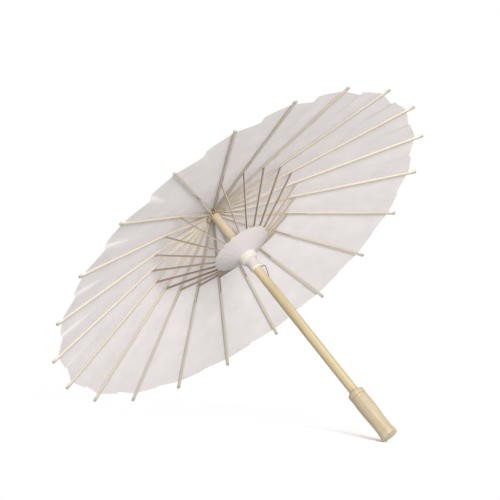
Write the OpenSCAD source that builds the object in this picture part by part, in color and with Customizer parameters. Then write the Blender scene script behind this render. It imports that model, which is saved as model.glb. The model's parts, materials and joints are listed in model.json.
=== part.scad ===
// Paper parasol on a bamboo frame, lying open on two rib tips and the end of its grip.
// Lengths are in millimetres and angles in degrees.
// Every piece is drawn about the pole's axis: the hinges of the head lie in the plane z = 0,
// and +z runs down the pole to the grip. The module lying() then lays it on the ground.

/* [Canopy] */
// Distance of the rib tips from the pole's axis
tip_r = 300; // [285:5:315]
// How far the rib tips hang toward the grip, measured from the head's hinges
tip_drop = 75; // [68:1:82]
// Share of the rib tips' radius that the paper reaches at each rib
paper_reach = 0.965; // [0.92:0.005:0.97]
// Depth of the cusps between the petals of the rim
cusp_depth = 4; // [2:0.5:8]
// Thickness of the canopy's paper
paper_t = 0.4; // [0.3:0.1:0.5]

/* [Ribs] */
// Height of a rib, across the canopy
rib_h = 3; // [2.6:0.1:3.2]
// Width of the tongue that sits in the head
tongue_w = 1.2; // [1:0.1:1.3]
// Width of a rib where it leaves the head
rib_hub_w = 1.9; // [1.6:0.1:2]
// Width of a rib at its stretcher's pivot
rib_pivot_w = 3.6; // [3.4:0.1:3.7]
// Width of a rib at its tip
rib_tip_w = 4.4; // [3.8:0.1:5]
// How far a rib's keel reaches below the rib's middle line
keel_h = 4.5; // [3.6:0.1:4.6]

/* [Stretchers] */
// Distance of the stretcher pivots from the pole's axis
pivot_r = 120; // [115:1:125]
// Thickness of a stretcher
stretcher_w = 1.3; // [1:0.1:1.3]
// Height of a stretcher
stretcher_h = 2.8; // [2.4:0.1:2.8]
// Radius of the pin at a stretcher's pivot
pin_r = 0.6; // [0.5:0.05:0.65]

/* [Pole and grip] */
// Outer radius of the bamboo pole
pole_r = 6.5; // [6.2:0.1:6.5]
// Radius of the hollow in the pole
pole_bore_r = 3.8; // [3.7:0.1:3.9]
// How far the pole reaches past the head's hinges
pole_top = 19; // [17:0.5:19]
// Place of the grip's collar along the pole
grip_z = 326; // [315:1:340]
// Length of the grip
grip_len = 74; // [70:1:80]
// Radius of the grip's collar
grip_collar_r = 11.3; // [11:0.1:12]
// Mean radius of the grip's body
grip_body_r = 10.9; // [10.8:0.05:11.5]
// How far the grip's body swells and narrows
grip_swell = 0.5; // [0.3:0.05:0.7]
// Radius of the straight foot at the grip's end
grip_foot_r = 11.5; // [11.3:0.1:12]
// Depth of the hole for the pole in the grip
grip_bore = 46; // [35:1:55]

/* [Head] */
// Radius of the thread ring that the ribs turn on
head_hinge_r = 9; // [9:0.1:9.2]
// Radius of the toothed part of the head
head_r = 12.5; // [12.2:0.1:13]

/* [Runner] */
// Place of the runner's thread ring along the pole
runner_z = 80; // [78:1:84]
// Radius of the thread ring that the stretchers turn on
runner_hinge_r = 9.8; // [9.8:0.1:10]
// Radius of the runner's toothed crown
crown_r = 12; // [11.8:0.1:12.4]
// Radius of the runner's sleeve
sleeve_r = 8; // [7.9:0.1:8]
// Radius that the inner paper collar reaches
collar_r = 43.5; // [40:0.5:46]

/* [Catch] */
// How far the catch wire stands out from the pole's axis
catch_reach = 11.2; // [10.6:0.1:11.4]
// Direction of the catch around the pole
catch_turn = 150; // [140:5:160]

/* [Hidden] */
RIBS = 21;
step = 360 / RIBS;
function numbered(kind, i) = str(kind, i < 10 ? "_0" : "_", i);

// clearances
slot_gap = 0.3;      // a moving strip's slot is wider than the strip by this
glue_gap = 0.3;      // between paper and the strips it covers
press_gap = 0.02;    // round a piece that is pressed or glued into a hole
run_gap = 0.06;      // round a piece that turns or slides
thread_r = 0.4;      // radius of the threads that the strips turn on
eye_r = 0.5;         // radius of the eyes that take those threads

// ribs
rib_slope = atan2(tip_drop, tip_r - head_hinge_r);
rib_len = norm([tip_r - head_hinge_r, tip_drop]);
pivot_z = (pivot_r - head_hinge_r) * tan(rib_slope);
pivot_s = norm([pivot_r - head_hinge_r, pivot_z]);
rib_slot_w = stretcher_w + slot_gap;
rib_slot_in = 7;     // the slot's reach from the pivot toward the head
rib_slot_out = 30;   // and toward the tip
tip_cut = 1;         // chamfer of a rib's tip
keel_w = 1.3;        // the keel is thin, so that the closed ribs lie side by side round the pole
keel_root_h = 2.6;   // its depth by the head, where the closed rib lies against the pole

// stretchers
stretcher_len = norm([pivot_r - runner_hinge_r, runner_z - pivot_z]);
stretcher_turn = atan2(runner_z - pivot_z, runner_hinge_r - pivot_r);
stretcher_slope = 180 - stretcher_turn;

// papers: their distance from the middle line of the strips they cover
paper_in = rib_h / 2 + glue_gap;
rim_r = tip_r * paper_reach;
canopy_hole_r = head_r + 0.8;
cap_r = 30;
cap_t = 0.5;
collar_in = stretcher_h / 2 + glue_gap;
collar_t = 0.4;
collar_cusp = 3;

// head
head_low = 4.1;
head_slot_top = -2.2;
head_slot_r = head_hinge_r - rib_h / 2 - 0.5;
head_shoulder = -5;
knob_r = 9.2;
neck_r = 8.4;
neck_z = -9;
head_pin_z = -12;
head_pin_r = 1;
tongue_len = norm([head_r - head_hinge_r, head_low]) + 0.5; // clear of the head's lower edge as it folds

// runner
crown_top = runner_z - 5;
crown_low = runner_z + 4;
crown_foot = runner_z + 8.6;
crown_slot_r = runner_hinge_r - stretcher_h / 2 - 0.3;
runner_low = runner_z + 22.6;
foot_ring_h = 2.1;
foot_ring_r = 7.8;
wrap_t = 0.28;

// catch
wire_r = 0.5;
stop_z = runner_low + foot_ring_h + glue_gap + wire_r;
catch_root_r = 2.4;
catch_eye_at = [5, stop_z + 19.5];
catch_eye_r = 1.2;
catch_pin_r = 0.5;
catch_pin_len = 5.2;
catch_slot_w = 1.5;

// grip
grip_end = grip_z + grip_len;
grip_end_round = 0.8;
collar_len = 8;
groove_depth = 0.7;
swell_at = 25;       // the body is thickest this far below the grip's top
swell_half = 31;     // and thinnest this much further down
foot_len = 5;
function grip_r(u) = grip_body_r + grip_swell * cos(180 * (u - swell_at) / swell_half);

// How the parasol lies: the inner corner of two rib tips and the rounded rim of the grip's end touch the ground.
tip_side = rib_tip_w / 2 - tip_cut;
tip_corner_r = (tip_r - rib_h / 2 * sin(rib_slope)) * cos(step / 2) + tip_side * sin(step / 2);
tip_corner_z = tip_drop + rib_h / 2 * cos(rib_slope);
foot_r = grip_foot_r - grip_end_round;
foot_z = grip_end - grip_end_round;
reach = norm([tip_corner_r - foot_r, foot_z - tip_corner_z]);
lean = acos(grip_end_round / reach) - atan2(foot_z - tip_corner_z, tip_corner_r - foot_r);
height = tip_corner_r * cos(lean) + tip_corner_z * sin(lean);
low_x = tip_corner_z * cos(lean) - tip_corner_r * sin(lean);
high_x = foot_z * cos(lean) + foot_r * sin(lean) + grip_end_round;
shift_x = -(low_x + high_x) / 2;

module lying() {
    translate([shift_x, 0, height]) rotate([0, 90 + lean, 0]) children();
}

// turned about the pole so that ribs 1 and 21 reach the ground
module at_rib(i) {
    rotate([0, 0, (i - 0.5) * step]) children();
}

module ring(r, wire) {
    rotate_extrude($fn = 96) translate([r, 0]) circle(r = wire, $fn = 16);
}

// eight-sided channel that a thread ring lies in
module thread_channel(r) {
    rotate_extrude($fn = 96) translate([r, 0]) circle(r = (thread_r + press_gap) / cos(22.5), $fn = 8);
}

module tube(r_out, r_in, z0, z1) {
    translate([0, 0, z0]) difference() {
        cylinder(r = r_out, h = z1 - z0, $fn = 64);
        translate([0, 0, -1]) cylinder(r = r_in, h = z1 - z0 + 2, $fn = 64);
    }
}

module cross_pin(r, len) {
    rotate([90, 0, 0]) cylinder(r = r, h = len, center = true, $fn = 24);
}

// radial slots for the strips, from z0 to z1
module slots(width, r_in, r_out, z0, z1) {
    for (i = [1:RIBS])
        at_rib(i) translate([r_in, -width / 2, z0]) cube([r_out - r_in, width, z1 - z0]);
}

// round disc whose edge is made of one shallow petal for each strip
module petals(r, cusp) {
    x = (r - cusp) * cos(step / 2);
    y = (r - cusp) * sin(step / 2);
    petal = (pow(r - x, 2) + y * y) / (2 * (r - x));
    circle(r = r - petal, $fn = 64);
    for (i = [1:RIBS]) at_rib(i) translate([r - petal, 0]) circle(r = petal, $fn = 96);
}

module pole() {
    color("khaki") lying() difference() {
        tube(pole_r, pole_bore_r, -pole_top, grip_z + grip_bore - 1);
        rotate([0, 0, catch_turn]) translate([0, -catch_slot_w / 2, stop_z - 1.2])
            cube([pole_r + 1, catch_slot_w, catch_eye_at[1] + 2.5 - stop_z]);
        rotate([0, 0, catch_turn]) translate([catch_eye_at[0], 0, catch_eye_at[1]])
            cross_pin(catch_pin_r + press_gap, 4 * pole_r);
        translate([0, 0, head_pin_z]) cross_pin(head_pin_r + press_gap, 4 * pole_r);
    }
}

module grip() {
    body = [for (u = [collar_len + 1.2 : 4 : grip_len - foot_len - 1]) [grip_r(u), grip_z + u]];
    foot_top = [grip_foot_r, grip_end - foot_len];
    round_end = [for (a = [0 : 15 : 90])
        [foot_r + grip_end_round * cos(a), foot_z + grip_end_round * sin(a)]];
    bore_r = pole_r + press_gap;
    outline = concat(
        [[bore_r, grip_z - 2.2], [pole_r + 0.8, grip_z - 2], [pole_r + 1.8, grip_z - 0.4]],
        [[grip_collar_r - 1, grip_z]],
        [[grip_collar_r, grip_z + 1], [grip_collar_r, grip_z + collar_len - 1.6]],
        [[grip_collar_r - groove_depth, grip_z + collar_len - 0.4]],
        body,
        [foot_top],
        round_end,
        [[0, grip_end], [0, grip_z + grip_bore], [bore_r, grip_z + grip_bore]]
    );
    color("wheat") lying() rotate_extrude($fn = 96) polygon(outline);
}

module head() {
    outline = [
        [pole_r + press_gap, head_low], [head_r, head_low], [head_r, head_shoulder],
        [neck_r, neck_z], [knob_r, neck_z - 3], [knob_r - 0.8, -pole_top + 1], [7.4, -pole_top],
        [pole_r + press_gap, -pole_top]
    ];
    color("burlywood") lying() difference() {
        rotate_extrude($fn = 96) polygon(outline);
        slots(tongue_w + slot_gap, head_slot_r, head_r + 2, head_slot_top, head_low + 1);
        thread_channel(head_hinge_r);
        translate([0, 0, head_pin_z]) cross_pin(head_pin_r + press_gap, 4 * head_r);
    }
}

module head_pin() {
    color("tan") lying() translate([0, 0, head_pin_z]) cross_pin(head_pin_r, 2 * neck_r);
}

module head_thread() {
    color("saddlebrown") lying() ring(head_hinge_r, thread_r);
}

// paper cap over the head, lapping onto the canopy
module top_cap() {
    lap = (paper_in + paper_t + 0.1) / cos(rib_slope);
    fit = 0.3;
    function on_canopy(r, up) = [r, (r - head_hinge_r) * tan(rib_slope) - lap - up];
    inner = [
        on_canopy(cap_r, 0), on_canopy(head_r + 1.4, 0), [head_r + fit, head_shoulder],
        [neck_r + fit, neck_z], [knob_r + fit, neck_z - 3], [knob_r - 0.8 + fit, -pole_top + 1 - fit],
        [7.4, -pole_top - fit], [0, -pole_top - fit]
    ];
    outer = [
        [0, -pole_top - fit - cap_t], [7.6, -pole_top - fit - cap_t],
        [knob_r - 0.6 + fit + cap_t / 2, -pole_top + 0.8 - fit],
        [knob_r + fit + cap_t, neck_z - 3], [neck_r + fit + cap_t, neck_z - 0.2],
        [head_r + fit + cap_t, head_shoulder - 0.4],
        on_canopy(head_r + 2, cap_t), on_canopy(cap_r, cap_t)
    ];
    color("white") lying() rotate_extrude($fn = 96) polygon(concat(inner, outer));
}

module cap_thread() {
    color("ivory") lying() translate([0, 0, neck_z - 0.4]) ring(neck_r + cap_t + 0.98, 0.45);
}

module runner() {
    dome = [for (a = [0 : 15 : 90]) [
        sleeve_r + (crown_r - sleeve_r) * cos(a),
        crown_low + (crown_foot - crown_low) * sin(a)
    ]];
    outline = concat(
        [[pole_r + run_gap, crown_top], [crown_r, crown_top]],
        dome,
        [[sleeve_r, runner_low], [pole_r + run_gap, runner_low]]
    );
    color("antiquewhite") lying() difference() {
        rotate_extrude($fn = 96) polygon(outline);
        slots(stretcher_w + slot_gap, crown_slot_r, crown_r + 2, crown_top - 1, crown_foot + 1);
        translate([0, 0, runner_z]) thread_channel(runner_hinge_r);
    }
}

module runner_thread() {
    color("saddlebrown") lying() translate([0, 0, runner_z]) ring(runner_hinge_r, thread_r);
}

module runner_wrap() {
    color("white") lying()
        tube(sleeve_r + press_gap + wrap_t, sleeve_r + press_gap, crown_foot + 0.4, runner_low);
}

module runner_foot_ring() {
    color("cornsilk") lying() difference() {
        tube(foot_ring_r, pole_r + run_gap, runner_low, runner_low + foot_ring_h);
        translate([0, 0, runner_low + foot_ring_h / 2]) ring(foot_ring_r + 0.3, 0.45);
    }
}

// a straight length of wire between two points [r, z]
module wire(from, to) {
    run = to - from;
    translate([from[0], 0, from[1]]) rotate([0, atan2(run[0], run[1]), 0])
        cylinder(r = wire_r, h = norm(run), $fn = 24);
}

module catch_wire() {
    root = [catch_root_r, stop_z];
    corner = [catch_reach, stop_z];
    color("dimgray") lying() rotate([0, 0, catch_turn]) difference() {
        union() {
            wire(root, corner);
            translate([corner[0], 0, corner[1]]) sphere(r = wire_r, $fn = 24);
            wire(corner, catch_eye_at);
            translate([catch_eye_at[0], 0, catch_eye_at[1]]) cross_pin(catch_eye_r, 2 * wire_r);
        }
        translate([catch_eye_at[0], 0, catch_eye_at[1]]) cross_pin(catch_pin_r + run_gap, 4 * wire_r);
    }
}

module catch_pin() {
    color("gray") lying() rotate([0, 0, catch_turn])
        translate([catch_eye_at[0], 0, catch_eye_at[1]]) cross_pin(catch_pin_r, catch_pin_len);
}

// one sheet over all the ribs, with a petal at each rib
module canopy_paper() {
    far = rim_r + 10;
    function under(r, out) = [r, (r - head_hinge_r) * tan(rib_slope) - (paper_in + out) / cos(rib_slope)];
    sheet = [under(canopy_hole_r, 0), under(far, 0), under(far, paper_t), under(canopy_hole_r, paper_t)];
    color("white") lying() intersection() {
        rotate_extrude($fn = 180) polygon(sheet);
        translate([0, 0, -20]) linear_extrude(tip_drop + 40) petals(rim_r, cusp_depth);
    }
}

// white paper over the inner ends of the stretchers, closed over the runner's crown
module collar_paper() {
    far = collar_r + 5;
    function on_sticks(r, out) =
        [r, pivot_z + (pivot_r - r) * tan(stretcher_slope) + (collar_in + out) / cos(stretcher_slope)];
    dome = [for (a = [0 : 15 : 75]) [cos(a), sin(a)]];
    function over_crown(out) = [for (p = dome) [
        sleeve_r + (crown_r - sleeve_r + glue_gap + out) * p[0],
        crown_low + (crown_foot - crown_low + glue_gap + out) * p[1]
    ]];
    outer = over_crown(collar_t);
    inner = over_crown(0);
    outline = concat(
        [on_sticks(far, 0), on_sticks(crown_r + 1, 0)],
        inner,
        [for (i = [len(outer) - 1 : -1 : 0]) outer[i]],
        [on_sticks(crown_r + 1.2, collar_t), on_sticks(far, collar_t)]
    );
    color("white") lying() intersection() {
        rotate_extrude($fn = 96) polygon(outline);
        translate([0, 0, pivot_z]) linear_extrude(runner_z) petals(collar_r, collar_cusp);
    }
}

// a bamboo strip with a tongue in the head, a keel below its inner half, a slot round its stretcher,
// and the pivot's pin
module rib(i) {
    half = [
        [0, tongue_w / 2], [tongue_len, tongue_w / 2], [tongue_len + 0.6, rib_hub_w / 2],
        [pivot_s - 15, rib_pivot_w / 2], [pivot_s + rib_slot_out + 4, rib_pivot_w / 2 + 0.1],
        [rib_len - tip_cut, rib_tip_w / 2], [rib_len, rib_tip_w / 2 - tip_cut]
    ];
    plan = concat(half, [for (k = [len(half) - 1 : -1 : 0]) [half[k][0], -half[k][1]]]);
    keel = [
        [tongue_len + 1.1, 0], [tongue_len + 2.6, keel_root_h], [0.35 * pivot_s, keel_h],
        [pivot_s - rib_slot_in - 4, rib_h / 2], [pivot_s - rib_slot_in - 4, 0]
    ];
    color("moccasin") lying() at_rib(i) translate([head_hinge_r, 0, 0]) rotate([0, -rib_slope, 0]) {
        difference() {
            union() {
                cross_pin(rib_h / 2, tongue_w);
                translate([0, 0, -rib_h / 2]) linear_extrude(rib_h) polygon(plan);
                rotate([90, 0, 0]) linear_extrude(keel_w, center = true) polygon(keel);
            }
            cross_pin(eye_r, 2 * tongue_w);
            translate([pivot_s - rib_slot_in, -rib_slot_w / 2, -rib_h])
                cube([rib_slot_in + rib_slot_out, rib_slot_w, 2 * rib_h]);
            translate([pivot_s, 0, 0]) cross_pin(pin_r + press_gap, 2 * rib_pivot_w);
        }
        translate([pivot_s, 0, 0]) cross_pin(pin_r, rib_pivot_w);
    }
}

// a thin strip from the rib's pivot to the runner
module stretcher(i) {
    color("rosybrown") lying() at_rib(i) translate([pivot_r, 0, pivot_z])
        rotate([0, -stretcher_turn, 0]) difference() {
            union() {
                cross_pin(stretcher_h / 2, stretcher_w);
                translate([0, -stretcher_w / 2, -stretcher_h / 2])
                    cube([stretcher_len, stretcher_w, stretcher_h]);
                translate([stretcher_len, 0, 0]) cross_pin(stretcher_h / 2, stretcher_w);
            }
            cross_pin(pin_r + run_gap, 2 * stretcher_w);
            translate([stretcher_len, 0, 0]) cross_pin(eye_r, 2 * stretcher_w);
        }
}

pole();
grip();
head();
head_pin();
head_thread();
top_cap();
cap_thread();
runner();
runner_thread();
runner_wrap();
runner_foot_ring();
catch_wire();
catch_pin();
canopy_paper();
collar_paper();
for (i = [1:RIBS]) {
    rib(i);
    stretcher(i);
}
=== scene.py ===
"""An open paper parasol lying on its rim and its grip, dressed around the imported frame.

Lengths are in metres. The shaft frame has its origin at HEAD, where the ribs turn, and AXIS runs
down the pole to the grip. Each rib has its own directions: OUT away from the pole and SIDE across it.
"""

import json
import math

import bmesh
import bpy
import numpy as np
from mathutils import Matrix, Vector


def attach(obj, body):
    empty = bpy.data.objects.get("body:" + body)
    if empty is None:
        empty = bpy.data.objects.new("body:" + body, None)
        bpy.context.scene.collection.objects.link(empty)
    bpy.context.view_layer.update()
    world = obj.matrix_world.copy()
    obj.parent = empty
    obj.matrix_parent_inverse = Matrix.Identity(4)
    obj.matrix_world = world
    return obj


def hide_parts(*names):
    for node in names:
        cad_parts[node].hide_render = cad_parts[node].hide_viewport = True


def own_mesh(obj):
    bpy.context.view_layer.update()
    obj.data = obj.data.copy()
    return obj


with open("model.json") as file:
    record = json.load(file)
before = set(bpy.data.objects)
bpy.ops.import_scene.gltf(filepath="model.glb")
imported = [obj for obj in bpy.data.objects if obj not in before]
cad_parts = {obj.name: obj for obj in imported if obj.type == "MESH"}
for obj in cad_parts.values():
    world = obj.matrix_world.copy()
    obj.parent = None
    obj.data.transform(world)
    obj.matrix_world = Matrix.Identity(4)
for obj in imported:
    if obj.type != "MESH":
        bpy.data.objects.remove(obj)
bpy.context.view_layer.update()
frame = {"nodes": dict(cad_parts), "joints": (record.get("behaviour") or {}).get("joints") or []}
MM = 0.001

# ---------------------------------------------------------------- places, all from the frame

RIBS = 21
BAY = 2 * math.pi / RIBS
NUMBERS = [f"{i:02d}" for i in range(1, RIBS + 1)]
JOINTS = {joint["name"]: joint for joint in frame["joints"]}


def unit(v):
    return v / np.linalg.norm(v)


def joint_at(name):
    return np.array(JOINTS[name]["pos_m"], float)


def hinge_name(i):
    return "canopy_fold" if i == 0 else f"rib_{NUMBERS[i]}_hinge"


AXIS = unit(np.array(JOINTS["runner_slide"]["axis"], float))
HINGES = [joint_at(hinge_name(i)) for i in range(RIBS)]
PIVOTS = [joint_at(f"stretcher_{n}_pivot") for n in NUMBERS]
HEAD = sum(HINGES) / RIBS
OUT = [unit(hinge - HEAD) for hinge in HINGES]
SIDE = [np.cross(AXIS, out) for out in OUT]
RIB_DIR = [unit(pivot - hinge) for pivot, hinge in zip(PIVOTS, HINGES)]
RIB_UP = [np.cross(d, side) for d, side in zip(RIB_DIR, SIDE)]


def span(node, origin, direction):
    """How far a CAD node reaches from origin along direction, lowest and highest."""
    mesh = frame["nodes"][node].data
    points = np.empty(len(mesh.vertices) * 3)
    mesh.vertices.foreach_get("co", points)
    along = (points.reshape(-1, 3) - origin) @ direction
    return along.min(), along.max()


HINGE_R = np.linalg.norm(HINGES[0] - HEAD)
SLOPE = math.atan2(RIB_DIR[0] @ AXIS, RIB_DIR[0] @ OUT[0])
PIVOT_S = np.linalg.norm(PIVOTS[0] - HINGES[0])
RIB_LEN = span("rib_01", HINGES[0], RIB_DIR[0])[1]
RIB_H = -2 * span("rib_01", HINGES[0], RIB_UP[0])[0]
KEEL_H = span("rib_01", HINGES[0], RIB_UP[0])[1]
RIB_TIP_W = 2 * span("rib_01", HINGES[0], SIDE[0])[1]
RIM_R = span("canopy_paper", HEAD, OUT[10])[1]
CAP_R = span("top_cap", HEAD, OUT[10])[1]
HEAD_R = span("head", HEAD, OUT[10])[1]
CAP_TOP = span("top_cap", HEAD, AXIS)[0]
GRIP_TOP, GRIP_END = span("grip", HEAD, AXIS)
RUNNER_LOW = span("runner", HEAD, AXIS)[1]
RUNNER_R = span("runner", HEAD, OUT[10])[1]
SLEEVE_R = span("runner_wrap", HEAD, OUT[10])[1]
COLLAR_R = span("collar_paper", HEAD, OUT[10])[1]
POLE_R = span("pole", HEAD, SIDE[10])[1]

# the runner's thread ring, where the stretchers end
RING_Z = 0.5 * sum(span("runner_thread", HEAD, AXIS))
RING_R = span("runner_thread", HEAD, OUT[10])[1] - 0.4 * MM
RING = [HEAD + AXIS * RING_Z + out * RING_R for out in OUT]
STRETCHER_DIR = [unit(ring - pivot) for ring, pivot in zip(RING, PIVOTS)]
STRETCHER_UP = [np.cross(side, d) for d, side in zip(STRETCHER_DIR, SIDE)]
STRETCHER_LEN = np.linalg.norm(RING[0] - PIVOTS[0])
STRETCHER_H = 2 * span("stretcher_01", PIVOTS[0], STRETCHER_UP[0])[1]
STRETCHER_W = 2 * span("stretcher_01", PIVOTS[0], SIDE[0])[1]


def shaft(r, angle, z):
    """Points of the shaft frame in the row frame. The angle starts at rib 1 and turns toward rib 2."""
    r, angle, z = np.broadcast_arrays(r, angle, z)
    flat = OUT[0] * (r * np.cos(angle))[..., None] + SIDE[0] * (r * np.sin(angle))[..., None]
    return HEAD + flat + AXIS * z[..., None]


# ---------------------------------------------------------------- camera, light and floor

CAM_AZIMUTH = math.radians(33)
CAM_ELEVATION = math.radians(-1)
CAM_ROLL = math.radians(5.3)
CAM_DISTANCE = 2.247
CAM_AIM = Vector((-0.0201, 0, 0.2284))
CAM_LENS = 120.4

WORLD_LIGHT = 0.79
LIT_AT = (0, 0, 0.2)
# place, size and power of each area light
LIGHTS = {
    "overhead": ((0.3, -0.5, 1.9), 1.6, 13),
    "key": ((1.6, -1.3, 0.9), 1.2, 63),
}


def add_camera():
    a, e = CAM_AZIMUTH, CAM_ELEVATION
    back = Vector((math.sin(a) * math.cos(e), -math.cos(a) * math.cos(e), math.sin(e)))
    data = bpy.data.cameras.new("camera")
    data.lens = CAM_LENS
    camera = bpy.data.objects.new("camera", data)
    bpy.context.scene.collection.objects.link(camera)
    camera.location = CAM_AIM + back * CAM_DISTANCE
    turn = (-back).to_track_quat("-Z", "Y").to_matrix()
    roll = turn @ Vector((math.cos(CAM_ROLL), math.sin(CAM_ROLL), 0))
    up = turn @ Vector((-math.sin(CAM_ROLL), math.cos(CAM_ROLL), 0))
    for row in range(3):
        turn[row][0], turn[row][1] = roll[row], up[row]
    camera.rotation_euler = turn.to_euler()
    bpy.context.scene.camera = camera


def add_area(name, place, size, power):
    data = bpy.data.lights.new(name, "AREA")
    data.shape = "DISK"
    data.size = size
    data.energy = power
    light = bpy.data.objects.new(name, data)
    light.location = place
    light.rotation_euler = (Vector(LIT_AT) - Vector(place)).to_track_quat("-Z", "Y").to_euler()
    bpy.context.scene.collection.objects.link(light)


def add_light():
    scene = bpy.context.scene
    scene.view_settings.view_transform = "Standard"
    world = bpy.data.worlds.new("studio")
    scene.world = world
    world.use_nodes = True
    tree = world.node_tree
    seen = tree.nodes.new("ShaderNodeLightPath")
    lit = tree.nodes.new("ShaderNodeMapRange")
    tree.links.new(seen.outputs["Is Camera Ray"], lit.inputs["Value"])
    lit.inputs["To Min"].default_value = WORLD_LIGHT
    lit.inputs["To Max"].default_value = 1.0
    background = tree.nodes["Background"]
    background.inputs["Color"].default_value = (1, 1, 1, 1)
    tree.links.new(lit.outputs["Result"], background.inputs["Strength"])
    for name, (place, size, power) in LIGHTS.items():
        add_area(name, place, size, power)


FLOOR_R = 0.9
FLOOR_Z = -0.0004


def add_floor(material):
    rings, spokes = 12, 64
    radii = FLOOR_R * np.arange(1, rings + 1) / rings
    angles = np.arange(spokes) * 2 * math.pi / spokes
    points = [(0, 0, FLOOR_Z)]
    points += [(r * math.cos(a), r * math.sin(a), FLOOR_Z) for r in radii for a in angles]
    faces = [(0, 1 + k, 1 + (k + 1) % spokes) for k in range(spokes)]
    for ring in range(rings - 1):
        for k in range(spokes):
            a = 1 + ring * spokes + k
            b = 1 + ring * spokes + (k + 1) % spokes
            faces.append((a, a + spokes, b + spokes, b))
    floor = new_piece("floor", points, faces, material)


# ---------------------------------------------------------------- mesh helpers


def face_outward(mesh):
    """Turns the faces of a closed mesh so that they look out of it."""
    work = bmesh.new()
    work.from_mesh(mesh)
    volume = work.calc_volume(signed=True)
    work.free()
    if volume < 0:
        mesh.flip_normals()


def new_piece(name, points, faces, *materials):
    mesh = bpy.data.meshes.new(name)
    mesh.from_pydata([tuple(float(x) for x in p) for p in points], [], faces)
    mesh.validate()
    face_outward(mesh)
    mesh.polygons.foreach_set("use_smooth", [True] * len(mesh.polygons))
    for material in materials:
        mesh.materials.append(material)
    piece = bpy.data.objects.new(name, mesh)
    bpy.context.scene.collection.objects.link(piece)
    return piece


def paint(piece, name, values):
    """Stores one number or one vector for each of the piece's points."""
    values = np.asarray(values, np.float32)
    kind, field = ("FLOAT_VECTOR", "vector") if values.ndim == 2 else ("FLOAT", "value")
    attribute = piece.data.attributes.new(name, kind, "POINT")
    attribute.data.foreach_set(field, values.ravel())


def points_of(piece):
    points = np.empty(len(piece.data.vertices) * 3)
    piece.data.vertices.foreach_get("co", points)
    return points.reshape(-1, 3)


def ease(x, low, high):
    """0 below low, 1 above high, and a smooth rise between them."""
    t = np.clip((x - low) / (high - low), 0, 1)
    return t * t * (3 - 2 * t)


def grid_faces(rows, columns, closed=False, first=0):
    """Quads of a grid of points. A closed grid joins its last column to its first."""
    faces = []
    for r in range(rows - 1):
        for c in range(columns if closed else columns - 1):
            d = (c + 1) % columns
            faces.append((r * columns + c, r * columns + d, (r + 1) * columns + d, (r + 1) * columns + c))
    return [tuple(first + p for p in face) for face in faces]


def shell(name, front, back, material, closed=False):
    """A thin closed piece between two grids of points of the same shape."""
    rows, columns = front.shape[:2]
    count = rows * columns
    faces = grid_faces(rows, columns, closed)
    faces += [tuple(count + p for p in reversed(face)) for face in faces]
    edge = [list(range(columns)), [(rows - 1) * columns + c for c in reversed(range(columns))]]
    if closed:
        edge = [line + line[:1] for line in edge]
    else:
        right = [r * columns + columns - 1 for r in range(rows)]
        left = [r * columns for r in reversed(range(rows))]
        edge += [right, left]
    for line in edge:
        faces += [(b, a, a + count, b + count) for a, b in zip(line, line[1:])]
    points = np.concatenate([front.reshape(-1, 3), back.reshape(-1, 3)])
    piece = new_piece(name, points, faces, material)
    piece.data.set_sharp_from_angle(angle=math.radians(60))
    return piece


def lathe(name, outline, material, segments=96, wave=None):
    """Turns an outline of (r, z) about the pole's axis. wave(angle, z) shifts the radius."""
    outline = np.asarray(outline, float)
    angles = np.arange(segments) * 2 * math.pi / segments
    r, z = outline[:, 0][:, None], outline[:, 1][:, None]
    if wave is not None:
        r = r + wave(angles[None, :], z)
    points = shaft(r, angles[None, :], z + 0 * r).reshape(-1, 3)
    faces = grid_faces(len(outline), segments, closed=True)
    for row, turned in ((0, False), (len(outline) - 1, True)):
        rim = [row * segments + c for c in range(segments)]
        faces.append(tuple(reversed(rim)) if turned else tuple(rim))
    piece = new_piece(name, points, [tuple(reversed(face)) for face in faces], material)
    grain = np.stack(np.broadcast_arrays(z, r * np.cos(angles), r * np.sin(angles)), -1)
    paint(piece, "grain", grain.reshape(-1, 3))
    return piece


ASKEW = (0.3, 0.9, 0.1)  # a direction that no wire starts along


def tube(name, path, radius, material, sides=10):
    """A round wire along a path of points, with rounded ends."""
    path = np.asarray(path, float)
    along = np.gradient(path, axis=0)
    along /= np.linalg.norm(along, axis=1)[:, None]
    across = unit(np.cross(along[0], ASKEW))
    angles = np.arange(sides) * 2 * math.pi / sides
    rings = []
    for k, (point, direction) in enumerate(zip(path, along)):
        across = unit(across - direction * (across @ direction))
        third = np.cross(direction, across)
        end = min(k, len(path) - 1 - k)
        width = radius * (0.55, 0.88, 1.0)[min(end, 2)]
        rings.append(point + width * (np.cos(angles)[:, None] * across + np.sin(angles)[:, None] * third))
    points = np.array(rings)
    faces = grid_faces(len(path), sides, closed=True)
    faces.append(tuple(reversed(range(sides))))
    faces.append(tuple((len(path) - 1) * sides + c for c in range(sides)))
    piece = new_piece(name, points.reshape(-1, 3), faces, material)
    lengths = np.concatenate([[0], np.cumsum(np.linalg.norm(np.diff(path, axis=0), axis=1))])
    across_wire = np.cos(angles) * radius, np.sin(angles) * radius
    grain = np.stack(np.broadcast_arrays(lengths[:, None], *across_wire), -1)
    paint(piece, "grain", grain.reshape(-1, 3))
    return piece


def section(width, height, corner, steps=3):
    """The outline of a rounded bar as points (across, up)."""
    corner = min(corner, 0.499 * width, 0.499 * height)
    outline = []
    for quarter, (sx, sy) in enumerate(((1, 1), (-1, 1), (-1, -1), (1, -1))):
        for k in range(steps + 1):
            angle = (quarter + k / steps) * math.pi / 2
            x = sx * (width / 2 - corner) + corner * math.cos(angle)
            y = sy * (height / 2 - corner) + corner * math.sin(angle)
            outline.append((x, y))
    return outline


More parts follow.
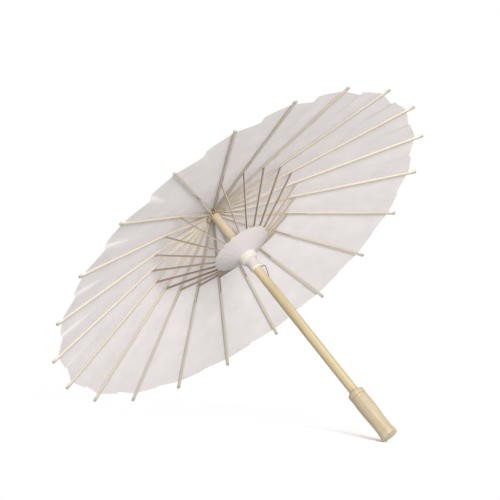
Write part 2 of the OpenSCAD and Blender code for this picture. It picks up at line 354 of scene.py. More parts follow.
def bar(name, stations, *materials):
    """A bar along x: each station is x and an outline of points (across, up)."""
    points = [(x, across, up) for x, outline in stations for across, up in outline]
    sides = len(points) // len(stations)
    faces = grid_faces(len(stations), sides, closed=True)
    faces.append(tuple(reversed(range(sides))))
    faces.append(tuple((len(stations) - 1) * sides + c for c in range(sides)))
    return new_piece(name, points, [tuple(reversed(f)) for f in faces], *materials)


def cut(piece, cutter):
    """The piece's mesh with the cutter taken out of it; the cutter is removed."""
    change = piece.modifiers.new("cut", "BOOLEAN")
    change.operation = "DIFFERENCE"
    change.solver = "EXACT"
    change.object = cutter
    seen = bpy.context.evaluated_depsgraph_get()
    mesh = bpy.data.meshes.new_from_object(piece.evaluated_get(seen))
    piece.modifiers.clear()
    piece.data = mesh
    bpy.data.objects.remove(cutter)


def placed(name, base, material, origin, along, across, up, bend, seed):
    """A copy of a bar that lies along x, bent a little and set in its place with its grain."""
    local = points_of(base)
    piece = bpy.data.objects.new(name, base.data.copy())
    bpy.context.scene.collection.objects.link(piece)
    piece.data.materials.clear()
    piece.data.materials.append(material)
    x, y, z = local.T
    y_bent = y + bend(x)
    world = origin + along * x[:, None] + across * y_bent[:, None] + up * z[:, None]
    piece.data.vertices.foreach_set("co", world.ravel())
    piece.data.update()
    face_outward(piece.data)
    paint(piece, "grain", local + np.array([seed * 0.37, seed * 0.11, seed * 0.23]))
    return piece, local


# ---------------------------------------------------------------- materials


def add(tree, kind, inputs=None, **settings):
    """A new node. Inputs are plain values, or sockets that are linked."""
    made = tree.nodes.new(kind)
    for key, value in settings.items():
        setattr(made, key, value)
    for key, value in (inputs or {}).items():
        if isinstance(value, bpy.types.NodeSocket):
            tree.links.new(value, made.inputs[key])
        else:
            made.inputs[key].default_value = value
    return made


def blank(name):
    material = bpy.data.materials.new(name)
    material.use_nodes = True
    tree = material.node_tree
    return material, tree, tree.nodes["Principled BSDF"]


def scaled(colour, share):
    return tuple(min(share * c, 1) for c in colour[:3]) + (1,)


def mixed(tree, factor, a, b):
    """Colour a where factor is 0 and b where it is 1."""
    return add(tree, "ShaderNodeMix", {0: factor, 6: a, 7: b}, data_type="RGBA").outputs[2]


def noise(tree, vector, scale, detail=3, roughness=0.55):
    made = add(tree, "ShaderNodeTexNoise", {"Vector": vector, "Scale": scale, "Detail": detail})
    made.inputs["Roughness"].default_value = roughness
    return made.outputs["Fac"]


def mapped(tree, value, low, high, to_low=0.0, to_high=1.0):
    inputs = {"Value": value, "From Min": low, "From Max": high, "To Min": to_low, "To Max": to_high}
    return add(tree, "ShaderNodeMapRange", inputs).outputs["Result"]


def attribute(tree, name, output="Fac"):
    return add(tree, "ShaderNodeAttribute", attribute_name=name).outputs[output]


def stretched(tree, vector, scale):
    return add(tree, "ShaderNodeMapping", {"Vector": vector, "Scale": scale}).outputs["Vector"]


def bumped(tree, shader, height, distance, strength=1.0, normal=None):
    inputs = {"Height": height, "Distance": distance, "Strength": strength}
    if normal is not None:
        inputs["Normal"] = normal
    made = add(tree, "ShaderNodeBump", inputs)
    tree.links.new(made.outputs["Normal"], shader.inputs["Normal"])
    return made.outputs["Normal"]


def along_pole(tree):
    """Object coordinates turned so that x runs along the pole."""
    turn = math.atan2(-AXIS[2], AXIS[0])
    place = add(tree, "ShaderNodeTexCoord").outputs["Object"]
    made = add(tree, "ShaderNodeVectorRotate", {"Vector": place, "Angle": -turn}, rotation_type="Y_AXIS")
    return made.outputs["Vector"]


def bamboo(name, light, dark, side=None, rough=0.5, place=None, fine=1.0, through=0.0):
    """Split bamboo: long straight fibres, a cut side in a separate tone, and stained ends. On ribs the side
    tone is painted light, on stretchers partly painted shade.
    """
    material, tree, shader = blank(name)
    vector = place(tree) if place else attribute(tree, "grain", "Vector")
    fibres = noise(tree, stretched(tree, vector, (30 * fine, 2600 * fine, 2600 * fine)), 1.0, 4, 0.6)
    bands = noise(tree, stretched(tree, vector, (9, 420, 420)), 1.0, 2)
    patches = noise(tree, stretched(tree, vector, (14, 90, 90)), 1.0, 3)
    colour = mixed(tree, mapped(tree, bands, 0.35, 0.68), light, dark)
    colour = mixed(tree, mapped(tree, fibres, 0.52, 0.72, 0, 0.45), colour, scaled(dark, 0.62))
    warm = (min(light[0] * 1.06, 1), light[1] * 0.93, light[2] * 0.84, 1)
    colour = mixed(tree, mapped(tree, patches, 0.5, 0.75, 0, 0.5), colour, warm)
    if side is not None:
        share = mapped(tree, attribute(tree, "side"), 0, 1, 0, 0.9)
        toned = mixed(tree, mapped(tree, bands, 0.3, 0.7, 0, 0.5), side, dark)
        colour = mixed(tree, share, colour, toned)
        colour = mixed(tree, attribute(tree, "stain"), colour, (0.25, 0.23, 0.18, 1))
    tree.links.new(colour, shader.inputs["Base Color"])
    tree.links.new(mapped(tree, fibres, 0.3, 0.7, rough - 0.08, rough + 0.12), shader.inputs["Roughness"])
    bumped(tree, shader, fibres, 0.05 * MM)
    if through > 0:
        let_through(tree, shader, colour, through)
    return material


def let_through(tree, shader, colour, share):
    """Lets a share of the light pass a thin piece and leave its other side."""
    glow = add(tree, "ShaderNodeBsdfTranslucent", {"Color": colour})
    both = add(tree, "ShaderNodeMixShader", {0: share, 1: shader.outputs[0], 2: glow.outputs[0]})
    tree.links.new(both.outputs[0], tree.nodes["Material Output"].inputs["Surface"])


def pole_bamboo():
    """Round bamboo, painted paler and warmer near the head: painted light."""
    light, dark = (0.41, 0.34, 0.20, 1), (0.32, 0.255, 0.145, 1)
    material = bamboo("pole_bamboo", light, dark, rough=0.38, place=along_pole, fine=0.6)
    tree = material.node_tree
    colour = tree.nodes["Principled BSDF"].inputs["Base Color"]
    place = add(tree, "ShaderNodeTexCoord").outputs["Object"]
    away = add(tree, "ShaderNodeVectorMath", {0: place, 1: tuple(HEAD)}, operation="DISTANCE")
    # Painted light: within 8 cm of the head the pole is mostly a paler, warmer tan, fading out by 14 cm.
    near = mapped(tree, away.outputs["Value"], 0.08, 0.14, 0.8, 0.0)
    tree.links.new(mixed(tree, near, colour.links[0].from_socket, (0.54, 0.44, 0.325, 1)), colour)
    return material


def paper(name, colour, through=0.4):
    """Oiled paper: long fibres, cloudy thickness, soft creases, and light that comes through."""
    material, tree, shader = blank(name)
    vector = attribute(tree, "grain", "Vector")
    swirl = noise(tree, stretched(tree, vector, (60, 60, 60)), 1.0, 2)
    fibres = noise(tree, stretched(tree, vector, (160, 1500, 400)), 1.0, 4, 0.65)
    cross = noise(tree, stretched(tree, vector, (1300, 210, 400)), 1.0, 4, 0.65)
    clouds = noise(tree, stretched(tree, vector, (28, 28, 28)), 1.0, 4, 0.6)
    dim = scaled(colour, 0.94)
    thick = scaled(colour, 1.03)
    tint = mixed(tree, mapped(tree, clouds, 0.35, 0.65), dim, colour)
    tint = mixed(tree, mapped(tree, fibres, 0.6, 0.72, 0, 0.7), tint, thick)
    tint = mixed(tree, mapped(tree, cross, 0.6, 0.74, 0, 0.5), tint, dim)
    tree.links.new(tint, shader.inputs["Base Color"])
    shader.inputs["Roughness"].default_value = 0.78
    shader.inputs["Specular IOR Level"].default_value = 0.25
    normal = bumped(tree, shader, swirl, 0.25 * MM)
    bumped(tree, shader, fibres, 0.02 * MM, normal=normal)
    let_through(tree, shader, tint, through)
    return material


def turned_wood():
    """Pale sanded wood with a long grain and fine marks from the lathe."""
    material, tree, shader = blank("turned_wood")
    vector = attribute(tree, "grain", "Vector")
    grain = noise(tree, stretched(tree, vector, (18, 260, 260)), 1.0, 5, 0.6)
    pores = noise(tree, stretched(tree, vector, (160, 2200, 2200)), 1.0, 3, 0.7)
    colour = mixed(tree, mapped(tree, grain, 0.3, 0.7), WOOD_LIGHT, WOOD_DARK)
    colour = mixed(tree, mapped(tree, pores, 0.58, 0.7, 0, 0.35), colour, scaled(WOOD_DARK, 0.6))
    tree.links.new(colour, shader.inputs["Base Color"])
    tree.links.new(mapped(tree, grain, 0.2, 0.8, 0.34, 0.5), shader.inputs["Roughness"])
    shader.inputs["Coat Weight"].default_value = 0.12
    shader.inputs["Coat Roughness"].default_value = 0.3
    marks = noise(tree, stretched(tree, vector, (1500, 60, 60)), 1.0, 2)
    normal = bumped(tree, shader, marks, 0.02 * MM)
    bumped(tree, shader, pores, 0.03 * MM, normal=normal)
    return material


def thread_material(name, colour):
    """Spun cotton thread."""
    material, tree, shader = blank(name)
    vector = add(tree, "ShaderNodeTexCoord").outputs["Object"]
    fuzz = noise(tree, stretched(tree, vector, (1500, 1500, 1500)), 1.0, 3)
    tint = mixed(tree, mapped(tree, fuzz, 0.35, 0.65), scaled(colour, 0.7), colour)
    tree.links.new(tint, shader.inputs["Base Color"])
    shader.inputs["Roughness"].default_value = 0.85
    shader.inputs["Sheen Weight"].default_value = 0.3
    bumped(tree, shader, fuzz, 0.08 * MM)
    return material


def wire_material():
    """Dark drawn steel wire with a little rubbing."""
    material, tree, shader = blank("catch_steel")
    vector = add(tree, "ShaderNodeTexCoord").outputs["Object"]
    rub = noise(tree, stretched(tree, vector, (700, 700, 700)), 1.0, 3)
    colour = mixed(tree, mapped(tree, rub, 0.45, 0.75), (0.012, 0.011, 0.01, 1), (0.07, 0.065, 0.06, 1))
    tree.links.new(colour, shader.inputs["Base Color"])
    shader.inputs["Metallic"].default_value = 0.8
    tree.links.new(mapped(tree, rub, 0.3, 0.7, 0.3, 0.5), shader.inputs["Roughness"])
    return material


def floor_material():
    """White floor that takes a faint shadow and fades into the backdrop away from the parasol."""
    material, tree, shader = blank("floor_white")
    shader.inputs["Base Color"].default_value = (0.8, 0.8, 0.8, 1)
    shader.inputs["Roughness"].default_value = 0.9
    shader.inputs["Specular IOR Level"].default_value = 0.1
    place = add(tree, "ShaderNodeTexCoord").outputs["Object"]
    away = add(tree, "ShaderNodeVectorMath", {0: place}, operation="LENGTH").outputs["Value"]
    foot = tuple(HEAD + AXIS * GRIP_END)[:2] + (0,)
    by_grip = add(tree, "ShaderNodeVectorMath", {0: place, 1: foot}, operation="DISTANCE").outputs["Value"]
    faint = mapped(tree, away, 0.3, 0.6, 0.06, 0.0)
    close = mapped(tree, by_grip, 0.04, 0.2, 1.0, 0.0)
    seen = add(tree, "ShaderNodeMath", {0: faint, 1: close}, operation="MAXIMUM").outputs[0]
    clear = add(tree, "ShaderNodeBsdfTransparent")
    both = add(tree, "ShaderNodeMixShader", {0: seen, 1: clear.outputs[0], 2: shader.outputs[0]})
    tree.links.new(both.outputs[0], tree.nodes["Material Output"].inputs["Surface"])
    return material


WOOD_LIGHT = (0.36, 0.305, 0.20, 1)
WOOD_DARK = (0.295, 0.23, 0.145, 1)
PAPER = (0.80, 0.765, 0.755, 1)
# The collar's paper is the canopy's paper about an eighth darker, painted shade, with a faint lilac tint.
SHADED_LILAC_PAPER = (0.70, 0.66, 0.65, 1)
CREAM_PAPER = (0.64, 0.60, 0.545, 1)

CANOPY_PAPER = paper("canopy_paper_white", PAPER, 0.42)
SHADED_COLLAR_PAPER = paper("collar_paper_shaded", SHADED_LILAC_PAPER, 0.42)
DOME_PAPER = paper("collar_dome_cream", CREAM_PAPER, 0.25)
CAP_PAPER = paper("cap_paper_white", PAPER, 0.25)
# The ribs' cut sides and keel flanks are painted lighter than their faces: painted light that lifts the
# shade on flanks turned from the key light.
RIB_BAMBOO = bamboo(
    "rib_bamboo", (0.65, 0.605, 0.525, 1), (0.59, 0.54, 0.455, 1), (0.74, 0.675, 0.575, 1), through=0.3
)
# The stretchers' dark cut sides are partly the bamboo's own skin and partly painted shade.
STRETCHER_BAMBOO = bamboo(
    "stretcher_bamboo", (0.43, 0.355, 0.275, 1), (0.36, 0.28, 0.21, 1), (0.12, 0.09, 0.066, 1)
)
POLE_BAMBOO = pole_bamboo()
HEAD_WOOD = bamboo(
    "head_wood", (0.50, 0.41, 0.28, 1), (0.35, 0.26, 0.155, 1), rough=0.6, place=along_pole, fine=0.5
)
RUNNER_WOOD = bamboo(
    "runner_wood", (0.66, 0.61, 0.48, 1), (0.57, 0.51, 0.38, 1), place=along_pole, fine=0.5
)
TURNED_WOOD = turned_wood()
COTTON = thread_material("cotton_thread", (0.58, 0.54, 0.45, 1))
DARK_THREAD = thread_material("dark_thread", (0.22, 0.15, 0.09, 1))
STEEL = wire_material()


# ---------------------------------------------------------------- canopy

PAPER_GAP = 0.06 * MM
PAPER_THICK = 0.22 * MM
HOLE_R = HEAD_R + 0.9 * MM
VALLEY = 0.7 * MM
CREASE = 5 * MM
CAP_LAP = 0.3 * MM
CURL_FROM = 0.72
DEEPEST_CUSPS = 14


def toward(rib, i):
    """1 at the named rib, falling to 0 on the far side of the canopy."""
    return 0.5 + 0.5 * math.cos((i + 1 - rib) * BAY)


def rim_cut(u, draw):
    """How far the rim stands back from the full radius. u runs from -1 to 1 across a petal."""
    lobe = draw["lobe"] * np.clip(u, 0, 1) ** 2.4
    flat = draw["flat"] * np.clip(-u, 0, 1) ** 0.9
    return lobe + flat


def paint_sheet(piece, i, out, side):
    """Gives a petal the grain of one flat sheet that runs on from petal to petal."""
    turn = i * BAY
    x = out * math.cos(turn) - side * math.sin(turn)
    y = out * math.sin(turn) + side * math.cos(turn)
    place = np.stack([x, y, 0 * x], -1).reshape(-1, 3)
    paint(piece, "grain", np.concatenate([place, place + [0, 0, 0.05]]))


def thickness(u, v):
    """The paper thins at a petal's edges, so that light passes from petal to petal."""
    return PAPER_THICK * (1 - 0.87 * np.maximum(ease(np.abs(u), 0.85, 1), ease(v, 0.97, 1)))


def bulge(t):
    """Rises from a rib and drops again at the valley, on one side of a petal."""
    return ease(t, 0, 0.8) * (1 - ease(t, 0.9, 1))


def canopy_petal(i, draw):
    """The paper from one valley to the next, glued on rib i + 1."""
    half = np.concatenate([np.arange(11) / 12, [0.9, 0.94, 0.97, 1]])
    u = np.concatenate([-half[:0:-1], half])[None, :]
    v = np.linspace(0, 1, 44)[:, None]
    rim = RIM_R - 0.2 * MM - rim_cut(u, draw)
    r = HOLE_R + (rim - HOLE_R) * v
    share = np.abs(u) / 2
    out = r * (1 - share + share * math.cos(BAY))
    side = r * share * math.sin(BAY) * np.sign(u)
    z = (r - HINGE_R) * math.tan(SLOPE)
    width = r / RIM_R
    sag = VALLEY * width * ease(np.abs(u), 0, 1)
    between = (np.abs(u) * (1 - np.abs(u))) ** 2
    crease = CREASE * width * np.sin(v * draw["waves"] + draw["phase"]) * between
    lip = ease(v, CURL_FROM, 1) * (draw["hang"] * bulge(-u) - draw["lift"] * bulge(u))
    lap = CAP_LAP * ease(-r, -CAP_R - 0.4 * MM, -CAP_R + 0.4 * MM)
    back_off = (RIB_H / 2 + PAPER_GAP) / math.cos(SLOPE)
    inner_z = z - back_off + sag + crease + lip
    outer_z = inner_z - thickness(u, v) - lap

    def grid(height):
        flat = OUT[i] * out[..., None] + SIDE[i] * side[..., None]
        return HEAD + flat + AXIS * height[..., None]

    piece = shell(f"canopy_petal_{NUMBERS[i]}", grid(inner_z), grid(outer_z), CANOPY_PAPER)
    paint_sheet(piece, i, out, side)
    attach(piece, f"rib_{NUMBERS[i]}")
    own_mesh(piece)
    width = 2 * RIM_R * math.sin(BAY / 2)
    return piece


def canopy():
    random = np.random.default_rng(7)
    for i in range(RIBS):
        cusp = 0.5 + 0.5 * toward(DEEPEST_CUSPS, i)
        curl = ease(toward(DEEPEST_CUSPS, i), 0.3, 1)
        draw = {
            "lobe": cusp * random.uniform(1.4, 2.6) * MM,
            "flat": cusp * random.uniform(4.4, 6.4) * MM,
            "lift": curl * random.uniform(1.8, 3.0) * MM,
            "hang": curl * random.uniform(0.8, 1.6) * MM,
            "waves": random.uniform(5, 11),
            "phase": random.uniform(0, 6),
        }
        canopy_petal(i, draw)
    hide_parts("canopy_paper")


# ---------------------------------------------------------------- ribs and stretchers

TONGUE_W = 1.2 * MM
TONGUE_LEN = 5.9 * MM
HUB_W = 1.9 * MM
PIVOT_W = 3.6 * MM
SLOT_W = STRETCHER_W + 0.3 * MM
SLOT_IN = 7 * MM
SLOT_OUT = 30 * MM
RIB_CORNER = 0.38 * MM
KEEL_W = 1.3 * MM
KEEL_ROOT = 2.6 * MM


def rib_width(x):
    """The rib widens from its tongue to its tip."""
    slotted = [PIVOT_S - 15 * MM, PIVOT_S + SLOT_OUT + 4 * MM]
    marks = [0, TONGUE_LEN, TONGUE_LEN + 1 * MM, *slotted, RIB_LEN]
    return np.interp(x, marks, [TONGUE_W, TONGUE_W, HUB_W, PIVOT_W, PIVOT_W + 0.1 * MM, RIB_TIP_W])


def keel_depth(x):
    """How far the keel reaches below the rib's middle line."""
    root = TONGUE_LEN + 1.2 * MM
    marks = [root, root + 1.4 * MM, 0.35 * PIVOT_S, PIVOT_S - SLOT_IN - 4 * MM]
    return np.interp(x, marks, [0, KEEL_ROOT, KEEL_H - 0.05 * MM, RIB_H / 2], right=0)


def rib_outline(x, width, height, corner):
    """A rounded strip with its thin keel on the inner side, as points (across, up)."""
    outline = section(width, height, corner)
    flat = height / 2
    low = max(float(keel_depth(x)), flat + 0.01 * MM)
    half = min(KEEL_W / 2, 0.3 * width)
    flank = [(half, flat), (half, 0.5 * (flat + low)), (half, low - 0.2 * (low - flat)), (0.55 * half, low)]
    keel = flank + [(-across, up) for across, up in reversed(flank)]
    corner_points = len(outline) // 4
    return outline[:corner_points] + keel + outline[corner_points:]


def rib_base():
    """A rib along x with its keel and the slot that its stretcher folds into."""
    root = [(x, 2 * math.sqrt((RIB_H / 2) ** 2 - x * x)) for x in np.array([-1.46, -1.2, -0.8, -0.4]) * MM]
    sizes = [(x, TONGUE_W, height, 0.25 * MM) for x, height in root]
    middle = np.concatenate([[0, 3, 5.9, 6.4, 6.9, 7.8, 8.6], np.arange(12, RIB_LEN / MM - 3, 5.5)]) * MM
    sizes += [(x, float(rib_width(x)), RIB_H, RIB_CORNER) for x in middle]
    for back, share in ((1.6, 1.0), (0.8, 0.96), (0.25, 0.84), (0, 0.66)):
        sizes.append((RIB_LEN - back * MM, RIB_TIP_W * share, RIB_H * (0.4 + 0.6 * share), 0.5 * MM))
    rib = bar("rib_base", [(size[0], rib_outline(*size)) for size in sizes])
    ends = (PIVOT_S - SLOT_IN, PIVOT_S + SLOT_OUT)
    slot = [(x, section(SLOT_W * w, 3 * RIB_H, 0.02 * MM)) for x, w in
            ((ends[0], 0.5), (ends[0] + 0.5 * MM, 1), (ends[1] - 0.5 * MM, 1), (ends[1], 0.5))]
    cut(rib, bar("slot", slot))
    rib.data.set_sharp_from_angle(angle=math.radians(50))
    return rib


def edge_share(local, width, corner):
    """1 on the cut sides of a strip and 0 on its broad faces."""
    across = np.abs(local[:, 1])
    return np.clip((across - (width / 2 - corner)) / corner, 0, 1)


def ribs():
    base = rib_base()
    random = np.random.default_rng(11)
    for i in range(RIBS):
        sweep, ripple, phase = random.uniform(-0.5, 0.5), random.uniform(0.05, 0.16), random.uniform(0, 6)

        def bend(x, sweep=sweep, ripple=ripple, phase=phase):
            free = ease(x, PIVOT_S + SLOT_OUT, RIB_LEN)
            wave = np.sin(x * 70 + phase) * ease(x, PIVOT_S + SLOT_OUT, PIVOT_S + 2 * SLOT_OUT)
            return (sweep * free + ripple * wave) * MM

        name = f"rib_strip_{NUMBERS[i]}"
        rib, local = placed(name, base, RIB_BAMBOO, HINGES[i], RIB_DIR[i], SIDE[i], RIB_UP[i], bend, i)
        on_keel = ease(local[:, 2], 0.52 * RIB_H, 0.6 * RIB_H)
        edges = edge_share(local, rib_width(local[:, 0]), RIB_CORNER)
        paint(rib, "side", np.maximum(0.7 * edges, on_keel))
        stain_from = RIB_LEN - random.uniform(3.5, 5) * MM
        paint(rib, "stain", 0.45 * ease(local[:, 0], stain_from, RIB_LEN - 1.5 * MM))
        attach(rib, f"rib_{NUMBERS[i]}")
        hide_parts(f"rib_{NUMBERS[i]}")
        rib_pin(i)
    bpy.data.objects.remove(base)


PIN_R = 0.6 * MM


def rib_pin(i):
    """The cotton thread that a stretcher turns on, its ends knotted into low domes."""
    ends = PIVOT_W / 2 + np.array([0.25, 0.1, 0]) * MM
    path = [PIVOTS[i] + SIDE[i] * x for x in (*-ends, *ends[::-1])]
    pin = tube(f"rib_pin_{NUMBERS[i]}", path, PIN_R, COTTON, 12)
    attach(pin, f"rib_{NUMBERS[i]}")


# Painted shade: the stretchers nearest rib 15 and 16 get the darkest cut sides.
SHADIEST_STRIPS = 15.5
STRIP_CORNER = 0.24 * MM


def stretchers():
    random = np.random.default_rng(5)
    end = STRETCHER_H / 2
    rounded = [(-0.97, 0.35), (-0.8, 1.2), (-0.5, 1.72), (0, 2.0)]
    sizes = [(x * end, h * end, 0.2 * MM) for x, h in rounded]
    sizes += [(x, STRETCHER_H, STRIP_CORNER) for x in np.linspace(6 * MM, STRETCHER_LEN - 6 * MM, 18)]
    sizes += [(STRETCHER_LEN - x * end, h * end, 0.2 * MM) for x, h in reversed(rounded)]
    base = bar("stretcher_base", [(x, section(STRETCHER_W, h, corner)) for x, h, corner in sizes])
    for i in range(RIBS):
        bow = random.uniform(-0.12, 0.12) * MM

        def bend(x, bow=bow):
            return bow * np.sin(np.clip(x / STRETCHER_LEN, 0, 1) * math.pi)

        strip, local = placed(
            f"stretcher_strip_{NUMBERS[i]}", base, STRETCHER_BAMBOO, PIVOTS[i], STRETCHER_DIR[i], SIDE[i],
            STRETCHER_UP[i], bend, i + 40
        )
        # Painted shade: the dark sides show in full near rib 15 and 16 and at about a third on the far
        # side.
        painted_shade = 0.35 + 0.65 * ease(toward(SHADIEST_STRIPS, i), 0.3, 0.5)
        paint(strip, "side", painted_shade * edge_share(local, STRETCHER_W, STRIP_CORNER))
        paint(strip, "stain", 0.6 * ease(-local[:, 0], -random.uniform(2.5, 4) * MM, 0.5 * MM))
        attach(strip, f"stretcher_{NUMBERS[i]}")
        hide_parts(f"stretcher_{NUMBERS[i]}")
    bpy.data.objects.remove(base)


# ---------------------------------------------------------------- collar, runner and catch

STICK_SLOPE = math.atan2(STRETCHER_DIR[0] @ AXIS, -(STRETCHER_DIR[0] @ OUT[0]))
PIVOT_R = (PIVOTS[0] - HEAD) @ OUT[0]
PIVOT_Z = (PIVOTS[0] - HEAD) @ AXIS


def collar_petal(i, draw):
    """Paper over the inner end of one stretcher, from one valley to the next."""
    rows, columns = 14, 13
    u = np.linspace(-1, 1, columns)[None, :]
    v = np.linspace(0, 1, rows)[:, None]
    rim = COLLAR_R - 0.2 * MM - draw["cusp"] * MM * np.abs(u) ** 1.6 - draw["tilt"] * MM * u
    start = RUNNER_R + 0.6 * MM
    r = start + (rim - start) * v
    turn = u * BAY / 2
    out = r * np.cos(turn)
    side = r * np.sin(turn)
    z = PIVOT_Z + (PIVOT_R - r) * math.tan(STICK_SLOPE)
    sag = -draw["fold"] * MM * (r / COLLAR_R) * ease(np.abs(u), 0, 1)
    lift = (STRETCHER_H / 2 + PAPER_GAP) / math.cos(STICK_SLOPE)
    inner_z = z + lift + sag
    outer_z = inner_z + thickness(u, v)

    def grid(height):
        flat = OUT[i] * out[..., None] + SIDE[i] * side[..., None]
        return HEAD + flat + AXIS * height[..., None]

    piece = shell(f"collar_petal_{NUMBERS[i]}", grid(outer_z), grid(inner_z), SHADED_COLLAR_PAPER)
    paint_sheet(piece, i, out, side)
    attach(piece, f"stretcher_{NUMBERS[i]}")
    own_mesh(piece)
    return piece


def collar():
    random = np.random.default_rng(3)
    for i in range(RIBS):
        draw = {
            "cusp": random.uniform(1.2, 2.8),
            "tilt": random.uniform(-0.8, 0.8),
            "fold": random.uniform(0.0, 0.3),
        }
        collar_petal(i, draw)
    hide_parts("collar_paper")
    collar_dome()


def collar_dome():
    """The middle of the collar, pressed over the runner's crown and gathered on its sleeve."""
    crown_low, crown_foot = RING_Z + 4 * MM, RING_Z + 8.6 * MM
    edge_z = PIVOT_Z + (PIVOT_R - RUNNER_R - 1.2 * MM) * math.tan(STICK_SLOPE) + 1.6 * MM
    sleeve, loose = SLEEVE_R + 0.1 * MM, 0.75 * MM
    arc = [math.radians(a) for a in range(0, 91, 6)]
    wide, tall = RUNNER_R + loose - sleeve, crown_foot - crown_low + loose
    outer = [(sleeve + wide * math.cos(a), crown_low + tall * math.sin(a)) for a in arc]
    start = [(RUNNER_R + 1.7 * MM, edge_z + 0.1 * MM), (RUNNER_R + 1.0 * MM, edge_z + 0.7 * MM)]
    tail = [(sleeve + 0.02 * MM, crown_foot + 1.6 * MM), (sleeve, crown_foot + 2.6 * MM)]
    line = np.array([p for p in start + outer + tail if p[1] >= edge_z])
    angles = np.arange(168) * 2 * math.pi / 168
    r = line[:, 0][:, None]
    z = line[:, 1][:, None]
    gather = ease(z, crown_low, crown_foot)
    pleat = 0.16 * MM * (0.3 + gather) * np.cos(RIBS * angles + 0.5) + 0.06 * MM * np.cos(34 * angles + 1)
    front = shaft(r + pleat + 0.12 * MM, angles, z + 0 * pleat)
    back = shaft(r + pleat - 0.06 * MM, angles, z + 0 * pleat)
    dome = shell("collar_dome", front, back, DOME_PAPER, closed=True)
    place = np.stack(np.broadcast_arrays(z, r * angles, 0 * pleat), -1).reshape(-1, 3)
    paint(dome, "grain", np.concatenate([place, place]))
    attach(dome, "runner")


def sleeve_wrap():
    """A strip of paper wound round the runner's sleeve, with its loose edge showing."""
    top = RING_Z + 9.0 * MM
    turns, rows, columns = 1.18, 10, 150
    angles = np.linspace(0, turns * 2 * math.pi, columns)[None, :]
    v = np.linspace(0, 1, rows)[:, None]
    inner_r = SLEEVE_R - 0.26 * MM + 0.12 * MM * angles / (2 * math.pi)
    wave = 0.03 * MM * np.sin(angles * 9 + v * 5)
    z = top + (RUNNER_LOW - top - 0.1 * MM) * v + 0.25 * MM * np.sin(angles * 1.0) * (1 - v)
    front = shaft(inner_r + 0.1 * MM + wave, angles, z)
    back = shaft(inner_r + wave, angles, z)
    # The wrap is in the collar's darker paper: painted shade.
    piece = shell("sleeve_wrap", front, back, SHADED_COLLAR_PAPER)
    place = np.stack(np.broadcast_arrays(z, inner_r * angles, 0 * z), -1).reshape(-1, 3)
    paint(piece, "grain", np.concatenate([place, place]))
    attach(piece, "runner")
    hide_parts("runner_wrap")


def catch():
    """The spring wire that holds the runner up: a short foot, a rounded elbow and a long leg."""
    pin = joint_at("catch_press")
    out = unit(pin - HEAD - AXIS * ((pin - HEAD) @ AXIS))
    pin_r = (pin - HEAD) @ out
    pin_z = (pin - HEAD) @ AXIS
    reach = span("catch_wire", HEAD, out)[1] - 0.5 * MM
    top = span("catch_wire", HEAD, AXIS)[0] + 0.5 * MM
    curl, eye_r, wire_r = 1.9 * MM, 0.75 * MM, 0.45 * MM
    foot_from = 2.6 * MM
    foot = [(foot_from + k * (reach - curl - foot_from) / 5, top) for k in range(6)]
    elbow = [(reach - curl + curl * math.sin(a), top + curl - curl * math.cos(a))
             for a in (math.radians(d) for d in range(12, 100, 11))]
    leg_end = (pin_r + 1.0 * MM, pin_z - 1.2 * MM)
    start = elbow[-1]
    leg = []
    for t in np.linspace(0.08, 1, 12):
        bow = 0.35 * MM * math.sin(math.pi * t)
        run, fall = (leg_end[0] - start[0]) * t, (leg_end[1] - start[1]) * t
        leg.append((start[0] + run + bow, start[1] + fall))
    eye = [(pin_r + eye_r * math.cos(a), pin_z + eye_r * math.sin(a))
           for a in (math.radians(d) for d in range(-20, 300, 25))]
    path = [HEAD + out * r + AXIS * z for r, z in foot + elbow + leg + eye]
    wire = tube("bent_catch", path, wire_r, STEEL, 12)
    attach(wire, "catch")
    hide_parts("catch_wire")


# ---------------------------------------------------------------- grip and cap


def grip_outline():
    """The grip's outer line: a fillet, a collar bead, a groove, a long swell, a waist and a foot."""
    fillet = 2.2 * MM
    collar_r, body_r, swell, foot_r = 11.3 * MM, 10.9 * MM, 0.5 * MM, 11.5 * MM
    top = GRIP_TOP + fillet
    throat = POLE_R + 0.6 * MM
    line = [(POLE_R + 0.02 * MM, GRIP_TOP + 0.05 * MM), (throat, GRIP_TOP + 0.1 * MM)]
    line += [(throat + 1.5 * MM * math.sin(a), top - 0.4 * MM - 1.6 * MM * math.cos(a))
             for a in (math.radians(d) for d in range(15, 91, 15))]
    line += [(collar_r - 1.6 * MM + 1.6 * MM * math.sin(a), top + 1.6 * MM - 1.6 * MM * math.cos(a))
             for a in (math.radians(d) for d in range(0, 91, 15))]
    line += [(collar_r + 0.05 * MM, top + 3.4 * MM), (collar_r, top + 5.6 * MM)]
    groove = top + 7.4 * MM
    line += [(collar_r - 1.1 * MM * math.exp(-(((z - groove) / (0.7 * MM)) ** 2)), z)
             for z in np.linspace(top + 6.2 * MM, top + 8.9 * MM, 12)]
    flare = GRIP_END - 12 * MM
    for z in np.arange(top + 9.4 * MM, flare, 0.8 * MM):
        r = body_r + swell * math.cos(math.pi * (z - top - 25 * MM) / (31 * MM))
        line.append((r, z))
    last = line[-1][0]
    for t in np.linspace(0.1, 1, 10):
        line.append((last + (foot_r - last) * float(ease(t, 0, 1)), flare + 9 * MM * t))
    line += [(foot_r, GRIP_END - 2.4 * MM)]
    line += [(foot_r - 0.9 * MM + 0.9 * MM * math.cos(a), GRIP_END - 0.9 * MM + 0.9 * MM * math.sin(a))
             for a in (math.radians(d) for d in range(0, 91, 15))]
    line += [(8 * MM, GRIP_END), (4 * MM, GRIP_END - 0.05 * MM), (0.6 * MM, GRIP_END - 0.12 * MM)]
    return line


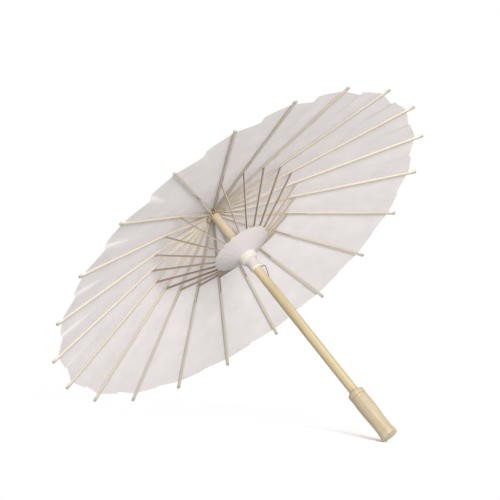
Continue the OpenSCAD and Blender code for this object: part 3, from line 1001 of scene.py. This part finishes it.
def grip():
    def marks(angle, z):
        return 0.012 * MM * np.sin(z * 4100) + 0.02 * MM * np.sin(3 * angle + z * 90)

    def kept(angle, z):
        from_top = ease(z, GRIP_TOP + 3 * MM, GRIP_TOP + 5 * MM)
        from_end = ease(GRIP_END - z, 1 * MM, 3 * MM)
        return marks(angle, z) * from_top * from_end

    handle = lathe("turned_grip", grip_outline(), TURNED_WOOD, 128, kept)
    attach(handle, "frame")
    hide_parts("grip")


def cap():
    """The paper cap gathered over the head's knob and tied round its neck."""
    neck_z, neck_r, knob_r = -9 * MM, 8.4 * MM, 9.2 * MM
    skirt_z = (HEAD_R + 2.2 * MM - HINGE_R) * math.tan(SLOPE) - 2.9 * MM
    line = [(HEAD_R + 2.2 * MM, skirt_z), (HEAD_R + 1.4 * MM, skirt_z - 1.4 * MM)]
    line += [(HEAD_R + 0.9 * MM, -5.2 * MM), (HEAD_R - 1.2 * MM, -7.2 * MM)]
    line += [(neck_r + 0.75 * MM, neck_z - 0.2 * MM)]
    line += [(knob_r + 0.5 * MM, neck_z - 2.4 * MM), (knob_r + 0.6 * MM, neck_z - 5.5 * MM)]
    line += [(knob_r - 0.2 * MM, CAP_TOP + 1.9 * MM), (knob_r - 1.6 * MM, CAP_TOP + 0.75 * MM)]
    line += [(4 * MM, CAP_TOP + 0.45 * MM), (0.9 * MM, CAP_TOP + 0.6 * MM)]
    line = smoothed(line, 6)
    angles = np.arange(210) * 2 * math.pi / 210
    r, z = line[:, 0][:, None], line[:, 1][:, None]
    near_neck = np.exp(-(((z - neck_z) / (3.2 * MM)) ** 2))
    on_top = ease(-z, -CAP_TOP - 4 * MM, -CAP_TOP - 1 * MM)
    depth = (0.10 + 0.24 * near_neck + 0.16 * on_top) * MM * ease(r, 1 * MM, 6 * MM)
    pleat = depth * (np.cos(30 * angles + 0.8 * np.sin(angles)) + 0.35 * np.cos(47 * angles + 2))
    front = shaft(r + pleat, angles[None, :], z + 0 * pleat)
    back = shaft(r + pleat - 0.16 * MM, angles[None, :], z + 0.12 * MM + 0 * pleat)
    crown = shell("cap_crown", front, back, CAP_PAPER, closed=True)
    place = np.stack(np.broadcast_arrays(z, r * angles, 0 * pleat), -1).reshape(-1, 3)
    paint(crown, "grain", np.concatenate([place, place]))
    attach(crown, "frame")
    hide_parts("top_cap")
    cap_cord(neck_r + 1.48 * MM, neck_z - 0.4 * MM)


def smoothed(line, steps):
    """A line through all the points, rounded between them (Catmull-Rom)."""
    p = np.array([line[0], *line, line[-1]], float)
    made = []
    for a, b, c, d in zip(p, p[1:], p[2:], p[3:]):
        for t in np.arange(steps) / steps:
            made.append(0.5 * (2 * b + (c - a) * t + (2 * a - 5 * b + 4 * c - d) * t**2
                               + (3 * b - a - 3 * c + d) * t**3))
    made.append(p[-1])
    return np.array(made)


def cap_cord(radius, z):
    """Two strands of cotton twisted round each other and wound once."""
    lay, twists = 0.2 * MM, 26
    random = np.random.default_rng(2)
    for strand in range(2):
        start = random.uniform(0, 0.2)
        turn = np.linspace(start, start + 2 * math.pi * 0.997, 240)
        twist = turn * twists + strand * math.pi
        r = radius + lay * np.cos(twist)
        height = z + lay * np.sin(twist)
        cord = tube(f"cap_strand_{strand + 1}", shaft(r, turn, height), 0.22 * MM, COTTON, 8)
        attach(cord, "frame")
        if strand == 0:
            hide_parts("cap_thread")


# ---------------------------------------------------------------- the rest of the CAD nodes


def dress_nodes():
    looks = {
        "pole": POLE_BAMBOO, "head": HEAD_WOOD, "head_pin": RUNNER_WOOD, "head_thread": DARK_THREAD,
        "runner": RUNNER_WOOD, "runner_thread": DARK_THREAD, "runner_foot_ring": RUNNER_WOOD,
        "catch_pin": STEEL,
    }
    for name, material in looks.items():
        mesh = frame["nodes"][name].data
        mesh.materials.clear()
        mesh.materials.append(material)


add_camera()
add_light()
add_floor(floor_material())
canopy()
ribs()
stretchers()
collar()
sleeve_wrap()
catch()
grip()
cap()
dress_nodes()
